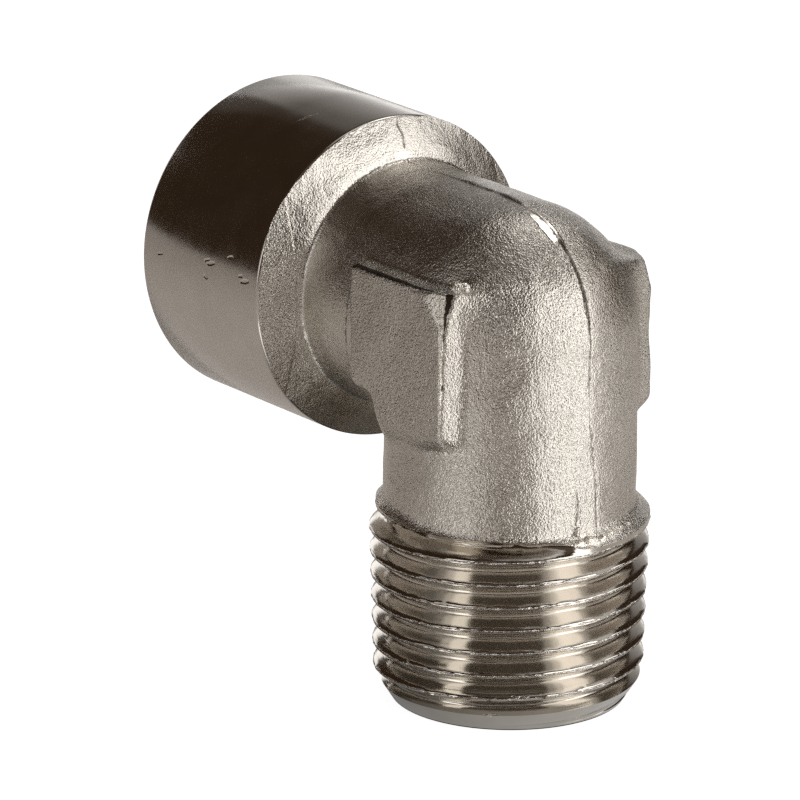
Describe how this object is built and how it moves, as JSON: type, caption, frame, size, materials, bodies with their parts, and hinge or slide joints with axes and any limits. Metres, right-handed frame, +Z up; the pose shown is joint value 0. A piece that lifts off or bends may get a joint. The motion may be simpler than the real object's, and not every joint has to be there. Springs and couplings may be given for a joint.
{
  "type": "street elbow",
  "caption": "Ninety-degree street elbow pipe fitting in nickel-plated forged brass, with a taper male thread, a female threaded collar and flat spanner pads.",
  "frame": {"origin": "centre of the male end face, on the axis of the male thread", "axes": "+Z up the male thread's axis, away from the port that it screws into; the female socket opens toward -X; the parting plane of the forging is y = 0"},
  "size_m": [0.0416, 0.0254, 0.0422],
  "materials": {
    "nickel_plated_brass": "nickel plated; shot-blasted forging with turned collar and cut threads"
  },
  "bodies": {
    "root": {"elbow_body": "nickel_plated_brass"}
  },
  "joints": []
}
